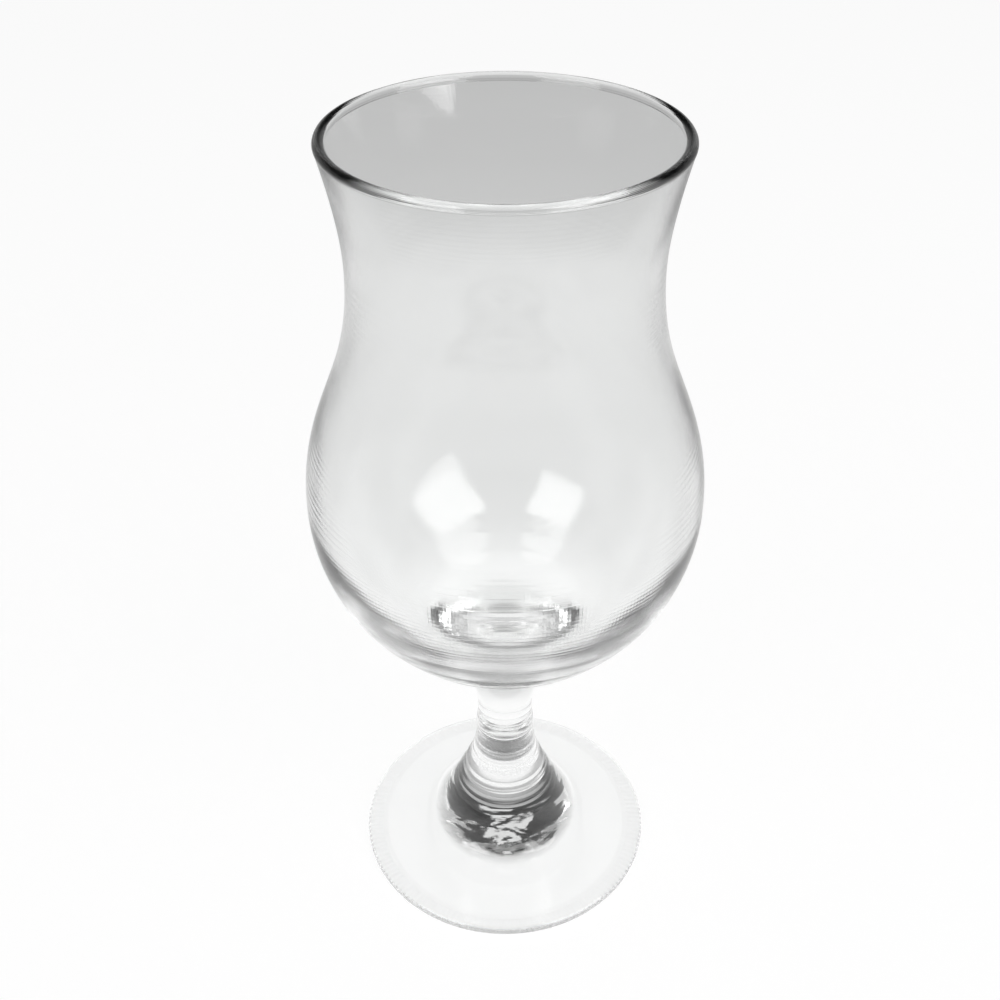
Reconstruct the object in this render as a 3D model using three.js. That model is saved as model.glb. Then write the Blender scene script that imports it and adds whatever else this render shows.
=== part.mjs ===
// Stemmed beer goblet in clear glass, made as a glassmaker makes it: a bowl, a stem and a foot, fused
// end to end. Each piece is a solid of revolution about Z. Millimetres, +Z up, the origin on the table
// under the middle of the foot. At the two fused joints the flat ends of two pieces meet at one height.
import * as THREE from "three";

// Foot: a disc that slopes up to a solid flared hub, which draws in to the end of the stem.
const FOOT_RADIUS = 35.9;
const FOOT_EDGE_THICKNESS = 2.6; // full round edge
const RESTING_RING_WIDTH = 3.0; // the flat ring that the goblet stands on
const UNDERSIDE_RISE = 1.6; // how far the hollow underside clears the table in the middle
const FOOT_TOP_RISE = 4.8; // from the edge's top to the crease round the hub
const HUB_RADIUS = 19.5; // at the crease
const HUB_CREASE_BLEND = 1.0; // the small hollow blend between the disc and the hub
const HUB_RISE = 20.5; // from the crease to the neck
const HUB_FLARE_RADIUS = 15.4; // where the tangents at the two ends of the hub's hollow side cross
const HUB_FLARE_RISE = 2.4; // height of that crossing above the crease
const NECK_RADIUS = 8.35;
const NECK_RISE = 10.1; // from the neck to the joint with the stem

// Stem: a round rod, a little waisted, that opens towards the bowl like a trumpet.
const STEM_FOOT_RADIUS = 6.95; // at the joint with the foot
const STEM_WAIST_RISE = 5.0; // from the joint with the foot to the thinnest place
const STEM_WAIST_RADIUS = 6.6;
const STEM_TRUMPET_RISE = 13.0; // from the thinnest place to the joint with the bowl

// Bowl: a rounded bulb that draws in to a waist and flares again to the rim.
const TRUMPET_CURVE_RADIUS = 32.8; // hollow sweep, in section, from the stem's thinnest place to the bulb
const BULB_CURVE_RADIUS = 44.3; // round of the bulb, in section, below its widest place
const BELLY_RADIUS = 42.25;
const BELLY_TO_WAIST = 53.0;
const BELLY_FULLNESS = 22.6; // how far the wall keeps going up before it leans in
const WAIST_FULLNESS = 25.0; // how far below the waist the wall has finished leaning in
const WAIST_RADIUS = 30.6;
const WAIST_TO_RIM = 25.4;
const WAIST_TO_FLARE_KNEE = 9.4; // height above the waist where the flare's tangents cross
const RIM_RADIUS = 34.4;
const RIM_BEAD_SWELL = 0.15; // how far the fire-polished bead stands proud of each side of the wall

// Glass thickness
const RIM_WALL = 1.9;
const WAIST_WALL = 2.2;
const BELLY_WALL = 2.5;
const FLOOR_THICKNESS = 18.0; // glass between the joint with the stem and the middle of the bowl's floor
const FLOOR_EDGE_RADIUS = 28.0; // inside, where the wall turns into the floor
const FLOOR_EDGE_RISE = 6.5; // height of that turn above the middle of the floor
const FLOOR_ROUNDNESS = 0.8; // shape of the floor: 0 is a cone, 1 a flat disc with a sharp corner round it
const WALL_FULLNESS = 9.5; // inside, how far the wall holds its direction from the belly and from the turn

// Steps of the facets
const SIDES = 48;
const SHORT_CURVE_STEPS = 4;
const CURVE_STEPS = 8;

const QUARTER_TURN = Math.PI / 2;

// Heights that follow from the sizes above.
const hubBaseHeight = FOOT_EDGE_THICKNESS + FOOT_TOP_RISE;
const neckHeight = hubBaseHeight + HUB_RISE;
const footJointHeight = neckHeight + NECK_RISE;
const stemWaistHeight = footJointHeight + STEM_WAIST_RISE;
const bowlJointHeight = stemWaistHeight + STEM_TRUMPET_RISE;

// The trumpet's arc, which the stem starts and the bowl ends.
const trumpetCentre = point(STEM_WAIST_RADIUS + TRUMPET_CURVE_RADIUS, stemWaistHeight);
const trumpetJointAngle = Math.asin(STEM_TRUMPET_RISE / TRUMPET_CURVE_RADIUS);
const bowlJointRadius = trumpetCentre.x - TRUMPET_CURVE_RADIUS * Math.cos(trumpetJointAngle);

// A point of an outline: its distance from the axis, then its height.
function point(radius, height) {
  return new THREE.Vector2(radius, height);
}

// An outline that grows one stretch at a time and turns into a closed solid of revolution.
class Outline {
  constructor(start) {
    this.points = [start];
  }

  lineTo(end) {
    this.points.push(end);
    return this;
  }

  follow(curve, steps) {
    this.points.push(...curve.getPoints(steps).slice(1));
    return this;
  }

  // A circular arc about a centre, from one angle to another, measured up from the outward direction.
  arc(centre, radius, fromAngle, toAngle, steps) {
    const clockwise = toAngle < fromAngle;
    const curve = new THREE.EllipseCurve(centre.x, centre.y, radius, radius, fromAngle, toAngle, clockwise);
    return this.follow(curve, steps);
  }

  // A curve that leaves the last point towards the control point and ends coming from it.
  bendTo(control, end, steps) {
    const last = this.points[this.points.length - 1];
    return this.follow(new THREE.QuadraticBezierCurve(last, control, end), steps);
  }

  // A double bend that leaves the last point towards the first control and ends coming from the second.
  swayTo(firstControl, secondControl, end, steps) {
    const last = this.points[this.points.length - 1];
    return this.follow(new THREE.CubicBezierCurve(last, firstControl, secondControl, end), steps);
  }

  solid() {
    const points = this.points.map(({ x, y }) => point(Math.max(x, 0), y));
    // LatheGeometry turns about Y; the model stands along Z.
    const geometry = new THREE.LatheGeometry(points, SIDES);
    geometry.rotateX(QUARTER_TURN);
    return geometry;
  }
}

// The foot's outline runs from the axis under the foot, round the edge and up the hub to the stem's end.
function footOutline() {
  const edge = FOOT_EDGE_THICKNESS / 2;
  const edgeCentre = point(FOOT_RADIUS - edge, edge);
  const ringInner = edgeCentre.x - RESTING_RING_WIDTH;
  const slope = Math.atan2(FOOT_TOP_RISE, edgeCentre.x - HUB_RADIUS);
  const crease = point(HUB_RADIUS, hubBaseHeight);
  const flare = point(HUB_FLARE_RADIUS, hubBaseHeight + HUB_FLARE_RISE);
  const neck = point(NECK_RADIUS, neckHeight);
  const discDirection = edgeCentre.clone().add(point(0, edge)).sub(crease).normalize();
  const hubDirection = flare.clone().sub(crease).normalize();
  const neckSteepness = (neck.y - flare.y) / (flare.x - neck.x);
  const neckKnee = point(STEM_FOOT_RADIUS, neck.y + (neck.x - STEM_FOOT_RADIUS) * neckSteepness);

  return new Outline(point(0, UNDERSIDE_RISE))
    .bendTo(point(ringInner / 2, UNDERSIDE_RISE), point(ringInner, 0), CURVE_STEPS)
    .lineTo(point(edgeCentre.x, 0))
    .arc(edgeCentre, edge, -QUARTER_TURN, QUARTER_TURN - slope, CURVE_STEPS)
    .lineTo(crease.clone().addScaledVector(discDirection, HUB_CREASE_BLEND))
    .bendTo(crease, crease.clone().addScaledVector(hubDirection, HUB_CREASE_BLEND), SHORT_CURVE_STEPS)
    .bendTo(flare, neck, CURVE_STEPS)
    .bendTo(neckKnee, point(STEM_FOOT_RADIUS, footJointHeight), CURVE_STEPS)
    .lineTo(point(0, footJointHeight));
}

// The stem's outline runs from the axis at the foot's joint, up its side, and back at the bowl's joint.
function stemOutline() {
  const lowerHalf = STEM_WAIST_RISE / 2;

  return new Outline(point(0, footJointHeight))
    .lineTo(point(STEM_FOOT_RADIUS, footJointHeight))
    .swayTo(
      point(STEM_FOOT_RADIUS, footJointHeight + lowerHalf),
      point(STEM_WAIST_RADIUS, stemWaistHeight - lowerHalf),
      point(STEM_WAIST_RADIUS, stemWaistHeight),
      CURVE_STEPS,
    )
    .arc(trumpetCentre, TRUMPET_CURVE_RADIUS, Math.PI, Math.PI - trumpetJointAngle, CURVE_STEPS)
    .lineTo(point(0, bowlJointHeight));
}

// The bowl's outline runs from the stem's joint up the outside, over the rim and down to the floor inside.
function bowlOutline() {
  const bulbCentreRadius = BELLY_RADIUS - BULB_CURVE_RADIUS;
  const centresApart = BULB_CURVE_RADIUS + TRUMPET_CURVE_RADIUS;
  const trumpetEndAngle = Math.acos((trumpetCentre.x - bulbCentreRadius) / centresApart);
  const bellyHeight = trumpetCentre.y + centresApart * Math.sin(trumpetEndAngle);
  const bulbCentre = point(bulbCentreRadius, bellyHeight);
  const waistHeight = bellyHeight + BELLY_TO_WAIST;
  const kneeHeight = waistHeight + WAIST_TO_FLARE_KNEE;

  const beadRadius = RIM_WALL / 2 + RIM_BEAD_SWELL;
  const beadCentre = point(RIM_RADIUS - beadRadius, waistHeight + WAIST_TO_RIM - beadRadius);
  const beadDip = Math.acos(RIM_WALL / 2 / beadRadius);
  const wallTop = point(beadCentre.x + RIM_WALL / 2, beadCentre.y - beadRadius * Math.sin(beadDip));

  const innerWaistRadius = WAIST_RADIUS - WAIST_WALL;
  const innerBellyRadius = BELLY_RADIUS - BELLY_WALL;
  const floorMiddle = point(0, bowlJointHeight + FLOOR_THICKNESS);
  const floorEdge = point(FLOOR_EDGE_RADIUS, floorMiddle.y + FLOOR_EDGE_RISE);
  const outward = floorEdge.clone().sub(bulbCentre).normalize();
  const downWall = point(outward.y, -outward.x); // side by side with the outside of the bulb
  const floorCorner = floorEdge.clone().addScaledVector(downWall, FLOOR_EDGE_RISE / outward.x);

  return new Outline(point(0, bowlJointHeight))
    .lineTo(point(bowlJointRadius, bowlJointHeight))
    .arc(
      trumpetCentre,
      TRUMPET_CURVE_RADIUS,
      Math.PI - trumpetJointAngle,
      Math.PI - trumpetEndAngle,
      CURVE_STEPS,
    )
    .arc(bulbCentre, BULB_CURVE_RADIUS, -trumpetEndAngle, 0, CURVE_STEPS)
    .swayTo(
      point(BELLY_RADIUS, bellyHeight + BELLY_FULLNESS),
      point(WAIST_RADIUS, waistHeight - WAIST_FULLNESS),
      point(WAIST_RADIUS, waistHeight),
      CURVE_STEPS,
    )
    .bendTo(point(WAIST_RADIUS, kneeHeight), wallTop, SHORT_CURVE_STEPS)
    .arc(beadCentre, beadRadius, -beadDip, Math.PI + beadDip, CURVE_STEPS)
    .bendTo(point(innerWaistRadius, kneeHeight), point(innerWaistRadius, waistHeight), SHORT_CURVE_STEPS)
    .swayTo(
      point(innerWaistRadius, waistHeight - WAIST_FULLNESS),
      point(innerBellyRadius, bellyHeight + BELLY_FULLNESS),
      point(innerBellyRadius, bellyHeight),
      CURVE_STEPS,
    )
    .swayTo(
      point(innerBellyRadius, bellyHeight - WALL_FULLNESS),
      floorEdge.clone().addScaledVector(downWall, -WALL_FULLNESS),
      floorEdge,
      CURVE_STEPS,
    )
    .swayTo(
      floorEdge.clone().lerp(floorCorner, FLOOR_ROUNDNESS),
      floorMiddle.clone().lerp(floorCorner, FLOOR_ROUNDNESS),
      floorMiddle,
      SHORT_CURVE_STEPS,
    );
}

function clearGlass() {
  return new THREE.MeshStandardMaterial({
    color: 0xf4f6f6,
    roughness: 0.02,
    metalness: 0,
    transparent: true,
    opacity: 0.35,
  });
}

function piece(name, outline) {
  const mesh = new THREE.Mesh(outline.solid(), clearGlass());
  mesh.name = name;
  return mesh;
}

const goblet = new THREE.Group();
goblet.name = "goblet";
goblet.add(piece("foot", footOutline()));
goblet.add(piece("stem", stemOutline()));
goblet.add(piece("bowl", bowlOutline()));

export default goblet;
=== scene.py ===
"""Clear glass stemmed beer goblet: a bowl, a stem and a foot of one glass, turned and fused end to end.

Sizes are millimetres where nothing else is said, and meshes are metres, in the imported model's frame: +Z up,
the origin on the table under the middle of the foot.
"""

from __future__ import annotations

import logging
import math
from dataclasses import dataclass
from enum import Enum
from typing import Any, Union

import bpy
from mathutils import Euler, Matrix, Vector


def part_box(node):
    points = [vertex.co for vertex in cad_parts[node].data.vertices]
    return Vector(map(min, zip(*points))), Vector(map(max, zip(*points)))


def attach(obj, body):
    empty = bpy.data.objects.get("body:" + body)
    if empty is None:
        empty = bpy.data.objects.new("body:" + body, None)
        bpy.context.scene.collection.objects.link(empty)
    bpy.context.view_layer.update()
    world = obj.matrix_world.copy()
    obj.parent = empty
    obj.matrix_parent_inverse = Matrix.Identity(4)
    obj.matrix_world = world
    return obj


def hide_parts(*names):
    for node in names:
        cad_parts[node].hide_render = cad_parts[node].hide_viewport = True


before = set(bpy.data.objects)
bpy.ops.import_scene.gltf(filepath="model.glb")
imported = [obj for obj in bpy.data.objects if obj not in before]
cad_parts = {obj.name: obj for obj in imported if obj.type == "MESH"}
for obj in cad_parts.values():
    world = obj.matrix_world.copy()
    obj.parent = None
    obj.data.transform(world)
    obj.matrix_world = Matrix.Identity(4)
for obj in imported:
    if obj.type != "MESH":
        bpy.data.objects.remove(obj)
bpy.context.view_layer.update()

LOG = logging.getLogger("goblet")
METRES = 0.001  # one millimetre in metres
QUARTER_TURN = math.pi / 2
SAME_HEIGHT = 1e-6  # metres; a face this near to a joint's height belongs to the joint
SAME_POINT = 1e-7  # metres; points this near to each other are merged
SHARP_EDGE_DEGREES = 50  # edges past this angle aren't shaded smooth
NO_JOINT = -100.0  # a height that no face of the goblet has
RIBS_BELOW = 0.6  # the height under which the foot's ribs lie
RIB_BLEND = 0.5  # the length over which a rib's ends fade
DIMPLES_BELOW = 2.5  # the height under which the hollow of the foot lies
DIMPLE_FADE = 0.6  # the share of the dimples' reach at which they start to fade
DIMPLE_DETAIL = 1.5  # finer noise that is added to the dimples, in octaves
DIMPLE_SWIRL = 0.8  # how far the dimples are drawn out into swirls
WAVE_DETAIL = 1.0  # finer noise that is added to the waves, in octaves
CALM_AT_TABLE = (0.3, 1.2)  # the heights between which the waves set in
CALM_AT_JOINT = (0.2, 2.0)  # the distances from a joint between which the waves set in
RING_CORE = 5.0  # the radius outside which the tool rings lie
LOW_BULB_DEGREES = 35  # below this angle the bulb carries tool rings, and its outline is cut finer
WHITE_TO_CAMERA = 1.09  # glow that brings the floor, which keeps some shadow, up to white

Point = tuple[float, float]  # distance from the axis, then height
Point3 = tuple[float, float, float]
Stop = tuple[float, float]  # a place along a ramp, then its grey level
Value = Union["Wire", float, int, bool, tuple, bpy.types.Material]


class Wire:
    """A node's output on which Python arithmetic adds Math nodes."""

    def __init__(self, graph: Graph, socket: bpy.types.NodeSocket | None) -> None:
        """Wraps one output socket of a graph's node."""
        self.graph = graph
        self.socket = socket

    def math(self, operation: str, *values: Value) -> Wire:
        """Adds a Math node.

        Args:
            operation: the Math node's operation.
            values: its inputs in order, wires or numbers.

        Returns:
            The node's result.
        """
        return self.graph.add("ShaderNodeMath", {"operation": operation}, dict(enumerate(values)))

    def __add__(self, other: Value) -> Wire:
        """self + other."""
        return self.math("ADD", self, other)

    def __radd__(self, other: Value) -> Wire:
        """other + self."""
        return self.math("ADD", other, self)

    def __sub__(self, other: Value) -> Wire:
        """self - other."""
        return self.math("SUBTRACT", self, other)

    def __rsub__(self, other: Value) -> Wire:
        """other - self."""
        return self.math("SUBTRACT", other, self)

    def __mul__(self, other: Value) -> Wire:
        """self * other."""
        return self.math("MULTIPLY", self, other)

    def __rmul__(self, other: Value) -> Wire:
        """other * self."""
        return self.math("MULTIPLY", other, self)

    def __truediv__(self, other: Value) -> Wire:
        """self / other."""
        return self.math("DIVIDE", self, other)

    def __rtruediv__(self, other: Value) -> Wire:
        """other / self."""
        return self.math("DIVIDE", other, self)

    def __mod__(self, other: Value) -> Wire:
        """self % other, for values from 0 up."""
        return self.math("MODULO", self, other)

    def __lt__(self, other: Value) -> Wire:
        """1 where self is less than other, else 0."""
        return self.math("LESS_THAN", self, other)

    def __gt__(self, other: Value) -> Wire:
        """1 where self is greater than other, else 0."""
        return self.math("GREATER_THAN", self, other)

    def __abs__(self) -> Wire:
        """The size of self without its sign."""
        return self.math("ABSOLUTE", self)

    def floor(self) -> Wire:
        """The whole number at or below self."""
        return self.math("FLOOR", self)

    def cosine(self) -> Wire:
        """The cosine of self in radians."""
        return self.math("COSINE", self)

    def ease(self, low: Value, high: Value) -> Wire:
        """Eases from 0 where self is low to 1 where self is high.

        Args:
            low: the value that gives 0, a wire or a number.
            high: the value that gives 1, a wire or a number.

        Returns:
            The eased value.
        """
        return self.graph.add("ShaderNodeMapRange", {"interpolation_type": "SMOOTHSTEP"}, {
            "Value": self, "From Min": low, "From Max": high,
        })


class Graph:
    """A node tree that is written one node at a time."""

    def __init__(self, tree: bpy.types.NodeTree) -> None:
        """Keeps the tree that the nodes go into."""
        self.tree = tree

    @classmethod
    def emptied(cls, owner: bpy.types.Material | bpy.types.World) -> Graph:
        """Gives a material or a world a tree without nodes.

        Args:
            owner: the material or the world.

        Returns:
            The graph of its tree.
        """
        owner.use_nodes = True
        owner.node_tree.nodes.clear()
        return cls(owner.node_tree)

    def add(
        self,
        kind: str,
        settings: dict[str, Any] | None = None,
        inputs: dict[str | int, Value] | None = None,
        output: str | int = 0,
    ) -> Wire:
        """Adds a node, sets it up and wires its inputs.

        Args:
            kind: the node's type.
            settings: the node's properties, and "stops" for a ramp's places and grey levels.
            inputs: wires or values, by socket name or number.
            output: the socket that is returned, by name or number.

        Returns:
            One output of the new node, or a wire without a socket where the node has no output.
        """
        node = self.tree.nodes.new(kind)
        for name, value in (settings or {}).items():
            if name == "stops":
                self._set_stops(node, value)
            else:
                setattr(node, name, value)
        for name, value in (inputs or {}).items():
            if isinstance(value, Wire):
                self.tree.links.new(value.socket, node.inputs[name])
            else:
                node.inputs[name].default_value = value
        return Wire(self, node.outputs[output] if node.outputs else None)

    @staticmethod
    def _set_stops(node: bpy.types.Node, stops: tuple[Stop, ...]) -> None:
        """Gives a colour ramp its stops.

        Args:
            node: the ramp.
            stops: its places and grey levels, in rising order.
        """
        elements = node.color_ramp.elements
        while len(elements) < len(stops):
            elements.new(1.0)
        for element, (position, level) in zip(elements, stops):
            element.position = position
            element.color = (level, level, level, 1.0)

    def parts(self, vector: Value) -> tuple[Wire, Wire, Wire]:
        """Splits a vector.

        Args:
            vector: the vector to split.

        Returns:
            Its X, Y and Z.
        """
        split = self.add("ShaderNodeSeparateXYZ", inputs={0: vector})
        return tuple(Wire(self, socket) for socket in split.socket.node.outputs)

    def length(self, vector: Value) -> Wire:
        """The length of a vector."""
        return self.add("ShaderNodeVectorMath", {"operation": "LENGTH"}, {0: vector}, "Value")

    def off_axis(self, place: Value) -> Wire:
        """The distance of a place from the goblet's axis.

        Args:
            place: the place's vector.

        Returns:
            Its distance from the axis.
        """
        across, deep, _ = self.parts(place)
        return self.length(self.add("ShaderNodeCombineXYZ", {}, {"X": across, "Y": deep}))


def new_object(name: str, data: bpy.types.Mesh | bpy.types.Light | bpy.types.Camera) -> bpy.types.Object:
    """Makes an object and puts it in the scene.

    Args:
        name: the object's name.
        data: its mesh, light or camera.

    Returns:
        The object.
    """
    made = bpy.data.objects.new(name, data)
    bpy.context.scene.collection.objects.link(made)
    return made


class Ray(Enum):
    """The kinds of ray that the backdrop tells apart."""

    CAMERA = "Is Camera Ray"
    GLOSSY = "Is Glossy Ray"
    THROUGH_GLASS = "Is Transmission Ray"


@dataclass(frozen=True)
class ClearGlass:
    """Fire-polished soda-lime glass, with a few specks in it and a scuffed resting ring."""

    index: float = 1.52
    colour: tuple[float, float, float, float] = (0.99, 0.995, 0.992, 1.0)
    roughness: float = 0.07
    speck_spacing: float = 14.0
    speck_radius: float = 0.11
    speck_roughness: float = 0.5
    scuff_height: float = 0.12
    scuff_roughness: float = 0.3
    name: str = "goblet_glass"

    def make(self) -> bpy.types.Material:
        """Builds the material.

        Returns:
            The glass.
        """
        material = bpy.data.materials.new(self.name)
        graph = Graph.emptied(material)
        place = graph.add("ShaderNodeTexCoord", output="Object")
        to_speck = graph.add("ShaderNodeTexVoronoi", {}, {
            "Vector": place, "Scale": 1 / (self.speck_spacing * METRES),
        })
        specks = to_speck < self.speck_radius / self.speck_spacing
        scuffs = graph.parts(place)[2] < self.scuff_height * METRES
        surface = graph.add("ShaderNodeBsdfPrincipled", {}, {
            "Base Color": self.colour,
            "Roughness": self.roughness + specks * self.speck_roughness + scuffs * self.scuff_roughness,
            "IOR": self.index,
            "Transmission Weight": 1.0,
        })
        graph.add("ShaderNodeOutputMaterial", {}, {"Surface": surface})
        return material


@dataclass(frozen=True)
class FusedJoint:
    """The hot-fused face between two pieces of the same glass, which light crosses without a trace."""

    name: str = "fused_joint"

    def make(self) -> bpy.types.Material:
        """Builds the material.

        Returns:
            The clear face.
        """
        material = bpy.data.materials.new(self.name)
        graph = Graph.emptied(material)
        graph.add("ShaderNodeOutputMaterial", {}, {"Surface": graph.add("ShaderNodeBsdfTransparent")})
        return material


@dataclass(frozen=True)
class PaleFloor:
    """Matt pale floor: white straight to the camera, and seen through the glass as its levels say.

    The levels paint the solid hub's shadow as a dark spot under the hub, are white round it and pale grey
    further off.
    """

    colour: float = 0.8
    glow_share: float = 0.85  # the rest is lit, and keeps some of the goblet's shadow
    reach: float = 2.0  # metres that the levels are spread over
    # the first stops are a painted shadow: dark under the hub, where the solid hub would shade the floor
    painted_shade_levels: tuple[Stop, ...] = (
        (0.0, 0.15), (0.004, 0.35), (0.008, 1.0), (0.03, 1.0), (0.06, 0.90), (0.10, 0.82), (0.16, 0.76),
        (0.19, 0.57), (0.5, 0.50), (1.0, 0.42),
    )
    name: str = "pale_floor"

    def make(self) -> bpy.types.Material:
        """Builds the material.

        Returns:
            The floor's surface.
        """
        material = bpy.data.materials.new(self.name)
        graph = Graph.emptied(material)
        distance = graph.length(graph.add("ShaderNodeTexCoord", output="Object"))
        # the floor's grey by distance, which carries the painted shadow under the hub
        level = graph.add("ShaderNodeValToRGB", {"stops": self.painted_shade_levels}, {"Fac": distance / self.reach})
        seen, mirrored, through = (graph.add("ShaderNodeLightPath", output=ray.value) for ray in Ray)
        in_glass = mirrored.math("MAXIMUM", mirrored, through)
        matt = graph.add("ShaderNodeBsdfDiffuse", {}, {"Color": (self.colour,) * 3 + (1.0,)})
        # the glow shows the painted shadow under the hub to glossy and transmission rays
        glow_with_painted_shade = graph.add("ShaderNodeEmission", {}, {
            "Color": seen + in_glass * level, "Strength": WHITE_TO_CAMERA,
        })
        share = (seen + in_glass) * self.glow_share
        surface = graph.add("ShaderNodeMixShader", {}, {0: share, 1: matt, 2: glow_with_painted_shade})
        graph.add("ShaderNodeOutputMaterial", {}, {"Surface": surface})
        return material


class Outline:
    """Half of a turned piece's section, from the axis round the outside and back to the axis."""

    def __init__(self, start: Point) -> None:
        """Starts the outline at one point."""
        self.points: list[Point] = [start]

    def line_to(self, end: Point, steps: int) -> Outline:
        """Adds a straight stretch.

        Args:
            end: where the stretch ends.
            steps: the pieces that it is cut into.

        Returns:
            The outline.
        """
        return self.bend_to(end, steps=steps)

    def bend_to(self, *controls: Point, steps: int) -> Outline:
        """Adds a Bezier stretch that starts at the last point.

        Args:
            controls: the stretch's other control points, the last one its end.
            steps: the pieces that it is cut into.

        Returns:
            The outline.
        """
        cage = [Vector(self.points[-1]), *map(Vector, controls)]
        for step in range(1, steps + 1):
            row = cage
            while len(row) > 1:
                row = [first.lerp(second, step / steps) for first, second in zip(row, row[1:])]
            self.points.append(tuple(row[0]))
        return self

    def arc(self, centre: Point, radius: float, start: float, end: float, steps: int) -> Outline:
        """Adds a circular stretch.

        Args:
            centre: the circle's centre.
            radius: its radius.
            start: the angle at which the stretch starts, measured up from the outward direction.
            end: the angle at which it ends.
            steps: the pieces that it is cut into.

        Returns:
            The outline.
        """
        for step in range(1, steps + 1):
            angle = start + (end - start) * step / steps
            self.points.append((centre[0] + radius * math.cos(angle), centre[1] + radius * math.sin(angle)))
        return self

    def add_rings(self, rings: tuple[ToolRing, ...]) -> None:
        """Moves the side in and out by the tool rings, and leaves what lies in the core.

        Args:
            rings: the rings to add.
        """
        self.points = [
            (radius + sum(ring.offset(height) for ring in rings) * (radius > RING_CORE), height)
            for radius, height in self.points
        ]


@dataclass(frozen=True)
class Trumpet:
    """The hollow sweep from the stem's thinnest place out under the bulb, part stem and part bowl."""

    waist_radius: float = 6.6
    waist_height: float = 43.0
    curve_radius: float = 32.8

    @property
    def centre(self) -> Point:
        """The arc's centre."""
        return self.waist_radius + self.curve_radius, self.waist_height

    def angle(self, height: float) -> float:
        """The arc's angle at a height, measured up from the outward direction."""
        return math.pi - math.asin((height - self.waist_height) / self.curve_radius)


class TurnedGlass:
    """Turns outlines into closed glass pieces with a node tree of named sizes, all of them in metres."""

    def __init__(self, glass: bpy.types.Material, joint: bpy.types.Material) -> None:
        """Builds the node tree.

        Args:
            glass: the material of the surface.
            joint: the material of the faces that are fused to the next piece.
        """
        self.materials = {"Glass": glass, "Joint": joint}
        self.tree = bpy.data.node_groups.new("turned_glass", "GeometryNodeTree")
        self.graph = Graph(self.tree)
        self._name_sockets()
        self._write()

    def _name_sockets(self) -> None:
        kinds = ("Geometry", "Int", "Float", "Material")
        geometry, whole, number, material = (f"NodeSocket{kind}" for kind in kinds)
        sockets = {
            "Outline": geometry, "Outline points": whole, "Sides": whole,
            "Low joint": number, "High joint": number,
            "Wave size": number, "Wave height": number, "Wave seed": number,
            "Ribs": whole, "Rib depth": number, "Ribs from": number, "Ribs to": number,
            "Dimple size": number, "Dimple depth": number, "Dimples to": number,
            "Glass": material, "Joint": material,
        }
        for name, kind in sockets.items():
            self.tree.interface.new_socket(name, in_out="INPUT", socket_type=kind)
        self.tree.interface.new_socket("Piece", in_out="OUTPUT", socket_type=geometry)

    def _write(self) -> None:
        """Writes the tree: turn the outline, press it, make it uneven, mark sharp edges and set materials."""
        graph = self.graph
        group = self.tree.nodes.new("NodeGroupInput")
        given = {socket.name: Wire(graph, socket) for socket in group.outputs if socket.name}
        place = graph.add("GeometryNodeInputPosition")
        height = graph.parts(place)[2]
        closed = self._turn(place, given)
        ribbed = self._press_ribs(closed, place, given)
        dimpled = self._press_dimples(ribbed, place, given)
        waved = self._add_waves(dimpled, place, given)
        sharp = graph.add("GeometryNodeInputMeshEdgeAngle") > math.radians(SHARP_EDGE_DEGREES)
        shaded = graph.add("GeometryNodeSetShadeSmooth", {"domain": "EDGE"}, {
            "Geometry": waved, "Selection": sharp, "Shade Smooth": False,
        })
        solid = graph.add("GeometryNodeRealizeInstances", {}, {"Geometry": shaded})
        glazed = graph.add("GeometryNodeSetMaterial", {}, {"Geometry": solid, "Material": given["Glass"]})
        low, high = (abs(height - given[joint]) < SAME_HEIGHT for joint in ("Low joint", "High joint"))
        fused = graph.add("GeometryNodeSetMaterial", {}, {
            "Geometry": glazed, "Selection": low + high, "Material": given["Joint"],
        })
        graph.add("NodeGroupOutput", {}, {"Piece": fused})

    def _turn(self, place: Wire, given: dict[str, Wire]) -> Wire:
        """Bends a grid into the turned surface, and closes its seam and its two poles.

        Args:
            place: the position field.
            given: the tree's inputs.

        Returns:
            The closed surface.
        """
        graph = self.graph
        lines = given["Sides"] + 1
        grid = graph.add("GeometryNodeMeshGrid", {}, {
            "Vertices X": given["Outline points"], "Vertices Y": lines,
        })
        number = graph.add("GeometryNodeInputIndex")
        section = graph.add("GeometryNodeSampleIndex", {"data_type": "FLOAT_VECTOR"}, {
            "Geometry": given["Outline"], "Value": place, "Index": (number / lines).floor(),
        })
        angle = (number % lines) / given["Sides"] * (-2 * math.pi)
        turned = graph.add("ShaderNodeVectorRotate", {"rotation_type": "Z_AXIS"}, {
            "Vector": section, "Angle": angle,
        })
        shell = graph.add("GeometryNodeSetPosition", {}, {"Geometry": grid, "Position": turned})
        return graph.add("GeometryNodeMergeByDistance", {}, {"Geometry": shell, "Distance": SAME_POINT})

    def _lift(self, mesh: Wire, rise: Wire) -> Wire:
        """Moves a surface up.

        Args:
            mesh: the surface.
            rise: how far each point moves.

        Returns:
            The moved surface.
        """
        offset = self.graph.add("ShaderNodeCombineXYZ", {}, {"Z": rise})
        return self.graph.add("GeometryNodeSetPosition", {}, {"Geometry": mesh, "Offset": offset})

    def _press_ribs(self, mesh: Wire, place: Wire, given: dict[str, Wire]) -> Wire:
        """Presses short radial ribs into the flat underside.

        Args:
            mesh: the turned surface.
            place: the position field.
            given: the tree's inputs.

        Returns:
            The ribbed surface.
        """
        across, deep, height = self.graph.parts(place)
        radius = self.graph.off_axis(place)
        turn = deep.math("ARCTAN2", deep, across)
        blend = RIB_BLEND * METRES
        inner = radius.ease(given["Ribs from"], given["Ribs from"] + blend)
        outer = 1.0 - radius.ease(given["Ribs to"] - blend, given["Ribs to"])
        under = height < RIBS_BELOW * METRES
        hollow = (0.5 - 0.5 * (turn * given["Ribs"]).cosine()) * given["Rib depth"]
        return self._lift(mesh, hollow * inner * outer * under)

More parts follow.
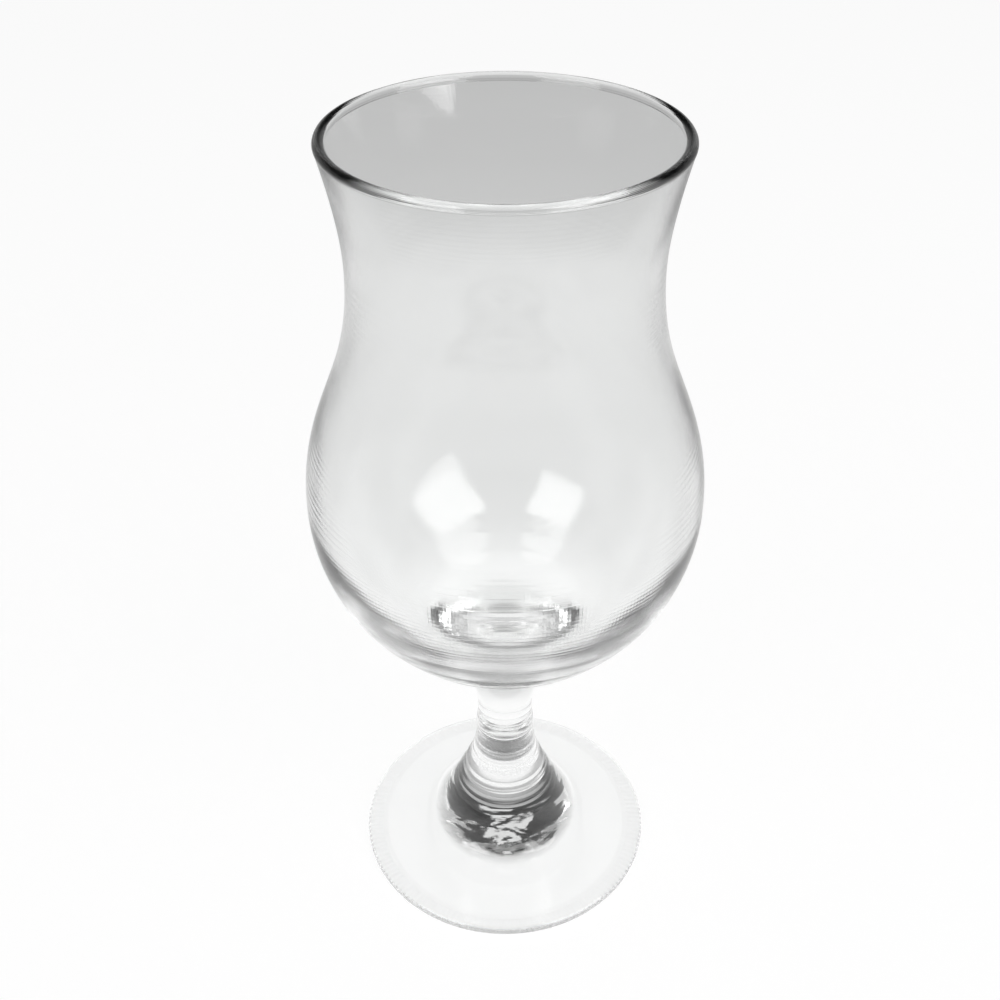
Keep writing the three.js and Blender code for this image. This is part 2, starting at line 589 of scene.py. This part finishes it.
    def _press_dimples(self, mesh: Wire, place: Wire, given: dict[str, Wire]) -> Wire:
        """Gives the middle of the underside the uneven skin that the press leaves.

        Args:
            mesh: the ribbed surface.
            place: the position field.
            given: the tree's inputs.

        Returns:
            The dimpled surface.
        """
        graph = self.graph
        noise = graph.add("ShaderNodeTexNoise", {}, {
            "Vector": place, "Scale": 1.0 / given["Dimple size"],
            "Detail": DIMPLE_DETAIL, "Distortion": DIMPLE_SWIRL,
        })
        middle = 1.0 - graph.off_axis(place).ease(given["Dimples to"] * DIMPLE_FADE, given["Dimples to"])
        under = graph.parts(place)[2] < DIMPLES_BELOW * METRES
        return self._lift(mesh, (noise - 0.5) * given["Dimple depth"] * middle * under)

    def _add_waves(self, mesh: Wire, place: Wire, given: dict[str, Wire]) -> Wire:
        """Gives the surface the slow unevenness of moulded glass, calm at the joints and where it rests.

        Args:
            mesh: the pressed surface.
            place: the position field.
            given: the tree's inputs.

        Returns:
            The uneven surface.
        """
        graph = self.graph
        height = graph.parts(place)[2]
        noise = graph.add("ShaderNodeTexNoise", {"noise_dimensions": "4D"}, {
            "Vector": place, "W": given["Wave seed"], "Scale": 1.0 / given["Wave size"],
            "Detail": WAVE_DETAIL,
        })
        calm = height.ease(*(edge * METRES for edge in CALM_AT_TABLE))
        for joint in ("Low joint", "High joint"):
            calm = calm * abs(height - given[joint]).ease(*(edge * METRES for edge in CALM_AT_JOINT))
        offset = graph.add("ShaderNodeVectorMath", {"operation": "SCALE"}, {
            0: graph.add("GeometryNodeInputNormal"), "Scale": (noise - 0.5) * given["Wave height"] * calm,
        })
        return graph.add("GeometryNodeSetPosition", {}, {"Geometry": mesh, "Offset": offset})

    def make(self, name: str, outline: Outline, sizes: dict[str, float]) -> bpy.types.Object:
        """Turns one outline into a finished piece.

        Args:
            name: the piece's name.
            outline: half of its section, in millimetres.
            sizes: the tree's inputs for this piece, in metres, by name.

        Returns:
            The piece, a plain closed mesh in the shared frame.
        """
        section = bpy.data.meshes.new(f"{name}_section")
        points = [(radius * METRES, 0.0, height * METRES) for radius, height in outline.points]
        section.from_pydata(points, [], [])
        blank = new_object(f"{name}_blank", section)
        modifier = blank.modifiers.new("turned_glass", "NODES")
        modifier.node_group = self.tree
        values = {**sizes, **self.materials, "Outline points": len(outline.points)}
        for item in self.tree.interface.items_tree:
            if item.name in values:
                modifier[item.identifier] = values[item.name]
        depsgraph = bpy.context.evaluated_depsgraph_get()
        mesh = bpy.data.meshes.new_from_object(blank.evaluated_get(depsgraph), depsgraph=depsgraph)
        mesh.materials.pop(index=0)  # the outline's own empty slot
        blank.modifiers.clear()
        bpy.data.objects.remove(blank)
        mesh.name = name
        return new_object(name, mesh)


@dataclass(frozen=True)
class ToolRing:
    """A fine ring that the tools leave round the turned surface, proud or, below 0, sunk."""

    height: float
    swell: float
    width: float

    def offset(self, height: float) -> float:
        """How far the surface moves out at a height."""
        return self.swell * math.exp(-(((height - self.height) / self.width) ** 2))


TOOL_RINGS = (
    ToolRing(78.0, 0.05, 0.9),
    ToolRing(74.0, -0.06, 0.7),
    ToolRing(71.0, 0.07, 0.7),
    ToolRing(68.5, -0.06, 0.6),
    ToolRing(66.0, 0.06, 0.6),
    ToolRing(63.5, -0.05, 0.6),
    ToolRing(60.5, 0.04, 0.6),
    ToolRing(42.3, -0.02, 0.20),
    ToolRing(40.4, -0.03, 0.20),
    ToolRing(37.2, -0.06, 0.22),
    ToolRing(36.2, 0.03, 0.50),
    ToolRing(34.4, -0.05, 0.35),
    ToolRing(32.4, 0.05, 0.40),
    ToolRing(30.6, -0.06, 0.40),
    ToolRing(28.6, 0.06, 0.40),
    ToolRing(27.0, -0.05, 0.40),
    ToolRing(25.0, 0.06, 0.40),
    ToolRing(22.0, -0.07, 0.45),
    ToolRing(19.4, 0.06, 0.45),
    ToolRing(16.6, -0.05, 0.45),
)


@dataclass
class TurnedPiece:
    """What the three glass pieces share: their joints, their waves and how they are dressed."""

    name: str
    sides: int
    low_joint: float
    high_joint: float
    wave_size: float = 12.0
    wave_height: float = 0.03
    wave_seed: float = 3.0

    def outline(self) -> Outline:
        """Half of the piece's section."""
        raise NotImplementedError

    def extra_sizes(self) -> dict[str, float]:
        """The tree's inputs that only this piece uses."""
        return {}

    def build(self, lathe: TurnedGlass) -> bpy.types.Object:
        """Makes the piece and sets it in the frame.

        Args:
            lathe: the tree that turns outlines.

        Returns:
            The finished piece.
        """
        piece = lathe.make(self.name, self.outline(), {
            "Sides": self.sides, "Low joint": self.low_joint * METRES, "High joint": self.high_joint * METRES,
            "Wave size": self.wave_size * METRES, "Wave height": self.wave_height * METRES,
            "Wave seed": self.wave_seed, **self.extra_sizes(),
        })
        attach(piece, "root")
        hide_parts(self.name.removesuffix("_glass"))
        return piece


@dataclass
class Foot(TurnedPiece):
    """The pressed disc, its ribbed resting ring and its solid flared hub."""

    radius: float = 35.9
    joint_radius: float = 6.95
    edge_thickness: float = 2.6
    resting_ring_width: float = 3.0
    underside_rise: float = 1.6
    top_rise: float = 4.8
    hub_radius: float = 19.5
    crease_blend: float = 1.0
    hub_rise: float = 20.5
    flare_radius: float = 15.4
    flare_rise: float = 2.4
    neck_radius: float = 8.35
    ribs: int = 150
    rib_depth: float = 0.06
    ribs_past_ring: float = 0.8
    dimple_size: float = 7.0
    dimple_depth: float = 0.7
    dimples_to: float = 20.0

    def outline(self) -> Outline:
        """Half of the foot's section.

        Returns:
            The outline, from the axis underneath, round the edge, up the hub and in along the joint.
        """
        edge = self.edge_thickness / 2
        edge_centre = (self.radius - edge, edge)
        ring_inner = edge_centre[0] - self.resting_ring_width
        slope = math.atan2(self.top_rise, edge_centre[0] - self.hub_radius)
        crease = Vector((self.hub_radius, self.edge_thickness + self.top_rise))
        flare = crease + Vector((self.flare_radius - self.hub_radius, self.flare_rise))
        neck = Vector((self.neck_radius, crease.y + self.hub_rise))
        down_disc = (Vector((edge_centre[0], self.edge_thickness)) - crease).normalized()
        up_hub = (flare - crease).normalized()
        steepness = (neck.y - flare.y) / (flare.x - neck.x)
        knee = (self.joint_radius, neck.y + (neck.x - self.joint_radius) * steepness)
        outline = Outline((0.0, self.underside_rise))
        outline.bend_to((ring_inner / 2, self.underside_rise), (ring_inner, 0.0), steps=44)
        outline.line_to((edge_centre[0], 0.0), steps=8)
        outline.arc(edge_centre, edge, -QUARTER_TURN, QUARTER_TURN - slope, steps=14)
        outline.line_to(crease + down_disc * self.crease_blend, steps=8)
        outline.bend_to(crease, crease + up_hub * self.crease_blend, steps=5)
        outline.bend_to(flare, neck, steps=34)
        outline.bend_to(knee, (self.joint_radius, self.high_joint), steps=34)
        outline.add_rings(TOOL_RINGS)
        return outline.line_to((0.0, self.high_joint), steps=3)

    def extra_sizes(self) -> dict[str, float]:
        """The sizes of the ribs and the dimples.

        Returns:
            The tree's inputs in metres, by name.
        """
        outer = self.radius - self.edge_thickness / 2
        return {
            "Ribs": self.ribs, "Rib depth": self.rib_depth * METRES,
            "Ribs from": (outer - self.resting_ring_width) * METRES,
            "Ribs to": (outer + self.ribs_past_ring) * METRES,
            "Dimple size": self.dimple_size * METRES, "Dimple depth": self.dimple_depth * METRES,
            "Dimples to": self.dimples_to * METRES,
        }


@dataclass
class Stem(TurnedPiece):
    """The solid rod, drawn in a little and opening towards the bowl."""

    joint_radius: float = 6.95
    trumpet: Trumpet = Trumpet()

    def outline(self) -> Outline:
        """Half of the stem's section.

        Returns:
            The outline, from the foot's joint up to the bowl's.
        """
        sway = (self.trumpet.waist_height - self.low_joint) / 2
        outline = Outline((0.0, self.low_joint))
        outline.line_to((self.joint_radius, self.low_joint), steps=3)
        outline.bend_to(
            (self.joint_radius, self.low_joint + sway),
            (self.trumpet.waist_radius, self.trumpet.waist_height - sway),
            (self.trumpet.waist_radius, self.trumpet.waist_height),
            steps=32,
        )
        top = self.trumpet.angle(self.high_joint)
        outline.arc(self.trumpet.centre, self.trumpet.curve_radius, math.pi, top, steps=40)
        outline.add_rings(TOOL_RINGS)
        return outline.line_to((0.0, self.high_joint), steps=3)


@dataclass
class Bowl(TurnedPiece):
    """The hollow bulb with its waist, flared mouth, fire-polished bead and thick floor."""

    belly_radius: float = 42.25
    bulb_curve_radius: float = 44.3
    belly_to_waist: float = 53.0
    belly_fullness: float = 22.6
    waist_fullness: float = 25.0
    waist_radius: float = 30.6
    waist_to_rim: float = 25.4
    waist_to_knee: float = 9.4
    rim_radius: float = 34.4
    bead_swell: float = 0.15
    rim_wall: float = 1.9
    waist_wall: float = 2.2
    belly_wall: float = 2.5
    floor_thickness: float = 18.0
    floor_edge_radius: float = 28.0
    floor_edge_rise: float = 6.5
    inside_fullness: float = 9.5
    floor_roundness: float = 0.8
    trumpet: Trumpet = Trumpet()

    def outline(self) -> Outline:
        """Half of the bowl's section.

        Returns:
            The outline, from the stem's joint up the outside, over the rim and down to the floor.
        """
        trumpet = self.trumpet
        bulb_centre_radius = self.belly_radius - self.bulb_curve_radius
        centres_apart = self.bulb_curve_radius + trumpet.curve_radius
        tangent = math.acos((trumpet.centre[0] - bulb_centre_radius) / centres_apart)
        belly = trumpet.centre[1] + centres_apart * math.sin(tangent)
        waist = belly + self.belly_to_waist
        knee = waist + self.waist_to_knee
        bead_radius = self.rim_wall / 2 + self.bead_swell
        bead = (self.rim_radius - bead_radius, waist + self.waist_to_rim - bead_radius)
        dip = math.acos(self.rim_wall / 2 / bead_radius)
        wall_top = (bead[0] + self.rim_wall / 2, bead[1] - bead_radius * math.sin(dip))
        inner_waist = self.waist_radius - self.waist_wall
        inner_belly = self.belly_radius - self.belly_wall
        floor = self.low_joint + self.floor_thickness
        floor_edge = Vector((self.floor_edge_radius, floor + self.floor_edge_rise))
        outward = (floor_edge - Vector((bulb_centre_radius, belly))).normalized()
        down_wall = Vector((outward.y, -outward.x))
        corner = floor_edge + down_wall * (self.floor_edge_rise / outward.x)
        middle = Vector((0.0, floor))
        start = trumpet.angle(self.low_joint)
        joint_radius = trumpet.centre[0] + trumpet.curve_radius * math.cos(start)
        low = -math.radians(LOW_BULB_DEGREES)
        outline = Outline((0.0, self.low_joint))
        outline.line_to((joint_radius, self.low_joint), steps=3)
        outline.arc(trumpet.centre, trumpet.curve_radius, start, math.pi - tangent, steps=30)
        outline.arc((bulb_centre_radius, belly), self.bulb_curve_radius, -tangent, low, steps=34)
        outline.arc((bulb_centre_radius, belly), self.bulb_curve_radius, low, 0.0, steps=28)
        outline.add_rings(TOOL_RINGS)
        outline.bend_to(
            (self.belly_radius, belly + self.belly_fullness),
            (self.waist_radius, waist - self.waist_fullness),
            (self.waist_radius, waist),
            steps=44,
        )
        outline.bend_to((self.waist_radius, knee), wall_top, steps=26)
        outline.arc(bead, bead_radius, -dip, math.pi + dip, steps=18)
        outline.bend_to((inner_waist, knee), (inner_waist, waist), steps=26)
        outline.bend_to(
            (inner_waist, waist - self.waist_fullness),
            (inner_belly, belly + self.belly_fullness),
            (inner_belly, belly),
            steps=40,
        )
        outline.bend_to(
            (inner_belly, belly - self.inside_fullness),
            floor_edge - down_wall * self.inside_fullness,
            floor_edge,
            steps=30,
        )
        return outline.bend_to(
            floor_edge.lerp(corner, self.floor_roundness),
            middle.lerp(corner, self.floor_roundness),
            middle,
            steps=24,
        )


@dataclass(frozen=True)
class SoftWindow:
    """A soft rectangular lamp that shows in the glass as a bright pane, its sizes in metres."""

    name: str
    azimuth: float  # degrees from the camera's side, positive to the right
    elevation: float  # degrees up from level
    width: float
    height: float
    radiance: float
    roll: float = 0.0  # degrees that the pane is turned about the line to the bowl
    distance: float = 1.1
    aim_height: float = 0.1

    def make(self) -> None:
        """Hangs the lamp in the scene, facing the bowl."""
        light = bpy.data.lights.new(self.name, "AREA")
        light.shape = "RECTANGLE"
        light.size = self.width
        light.size_y = self.height
        light.energy = self.radiance * math.pi * self.width * self.height
        lamp = new_object(self.name, light)
        turn, rise = math.radians(self.azimuth), math.radians(self.elevation)
        outward = Vector((
            math.sin(turn) * math.cos(rise), -math.cos(turn) * math.cos(rise), math.sin(rise),
        ))
        lamp.location = outward * self.distance + Vector((0.0, 0.0, self.aim_height))
        roll = Euler((0.0, 0.0, math.radians(self.roll))).to_quaternion()
        lamp.rotation_euler = (outward.to_track_quat("Z", "Y") @ roll).to_euler()
        lamp.visible_camera = False


@dataclass(frozen=True)
class Studio:
    """Pale floor, pale horizon under a darker ceiling, three soft windows and the camera."""

    floor_size: float = 6.0  # metres
    floor_gap: float = 0.05
    sky: tuple[Stop, ...] = ((0.0, 0.45), (0.12, 0.42), (0.26, 0.33), (0.38, 0.035), (1.0, 0.03))
    camera_place: Point3 = (0.0, -220.0, 265.1)
    camera_dip: float = 36.09  # degrees below level
    camera_roll: float = 0.23  # degrees
    camera_nearest: float = 5.0  # nothing nearer is seen
    focal_pixels: float = 1257.5
    frame_pixels: float = 1000.0
    sensor: float = 36.0
    bounces: int = 22  # what the wall guides for longer stays dark, as at the edges of real glass
    clear_bounces: int = 16
    brightest_sample: float = 6.0
    windows: tuple[SoftWindow, ...] = (
        SoftWindow(
            "right_window", azimuth=52.0, elevation=33.0, width=0.84, height=0.80, radiance=3.2, roll=12.4,
        ),
        SoftWindow("left_window", azimuth=-46.0, elevation=35.0, width=0.66, height=0.60, radiance=3.2),
        SoftWindow("top_window", azimuth=180.0, elevation=50.0, width=0.40, height=0.30, radiance=0.7),
    )

    def build(self) -> None:
        """Sets up everything round the goblet."""
        self._lay_floor()
        self._paint_surroundings()
        for window in self.windows:
            window.make()
        self._place_camera()
        self._limit_light()

    def _lay_floor(self) -> None:
        """Lays the floor just under the resting ring, so that the two faces don't share one plane."""
        half = self.floor_size / 2
        below = -self.floor_gap * METRES
        corners = ((-half, -half, below), (half, -half, below), (half, half, below), (-half, half, below))
        mesh = bpy.data.meshes.new("studio_floor")
        mesh.from_pydata(corners, [], [(0, 1, 2, 3)])
        mesh.materials.append(PaleFloor().make())
        new_object("studio_floor", mesh)

    def _paint_surroundings(self) -> None:
        """Paints the sky by height: pale at the horizon, darker overhead, white straight to the camera."""
        world = bpy.data.worlds.new("studio")
        bpy.context.scene.world = world
        graph = Graph.emptied(world)
        rise = graph.parts(graph.add("ShaderNodeTexCoord", output="Generated"))[2]
        level = graph.add("ShaderNodeValToRGB", {"stops": self.sky}, {"Fac": rise})
        seen = graph.add("ShaderNodeLightPath", output=Ray.CAMERA.value)
        sky = graph.add("ShaderNodeBackground", {}, {"Color": level + seen * (1.0 - level)})
        graph.add("ShaderNodeOutputWorld", {}, {"Surface": sky})

    def _place_camera(self) -> None:
        """Places the camera at the photograph's viewing angle."""
        camera = bpy.data.cameras.new("camera")
        camera.sensor_width = self.sensor
        camera.lens = self.focal_pixels * self.sensor / self.frame_pixels
        camera.clip_start = self.camera_nearest * METRES
        view = new_object("camera", camera)
        tilt = Matrix.Rotation(QUARTER_TURN - math.radians(self.camera_dip), 4, "X")
        roll = Matrix.Rotation(math.radians(self.camera_roll), 4, "Y")
        view.matrix_world = Matrix.Translation(Vector(self.camera_place) * METRES) @ tilt @ roll
        bpy.context.scene.camera = view

    def _limit_light(self) -> None:
        """Follows light through the many walls of glass, keeps it sharp and shows colours as written."""
        cycles = bpy.context.scene.cycles
        cycles.max_bounces = cycles.transmission_bounces = cycles.glossy_bounces = self.bounces
        cycles.transparent_max_bounces = self.clear_bounces
        cycles.blur_glossy = 0.0
        cycles.sample_clamp_indirect = self.brightest_sample
        bpy.context.scene.view_settings.view_transform = "Standard"


def main() -> None:
    """Builds the studio and the goblet's pieces from the table up, and reports each piece."""
    logging.basicConfig(level=logging.INFO, format="%(message)s")
    Studio().build()
    stem_low, stem_high = (corner.z / METRES for corner in map(Vector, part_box("stem")))
    lathe = TurnedGlass(ClearGlass().make(), FusedJoint().make())
    pieces = (
        Foot("foot_glass", sides=600, low_joint=NO_JOINT, high_joint=stem_low),
        Stem("stem_glass", sides=400, low_joint=stem_low, high_joint=stem_high),
        Bowl(
            "bowl_glass", sides=320, low_joint=stem_high, high_joint=NO_JOINT,
            wave_size=16.0, wave_height=0.12,
        ),
    )
    for piece in pieces:
        made = piece.build(lathe)
        LOG.info("%s: %d faces", made.name, len(made.data.polygons))


if __name__ == "__main__":
    main()
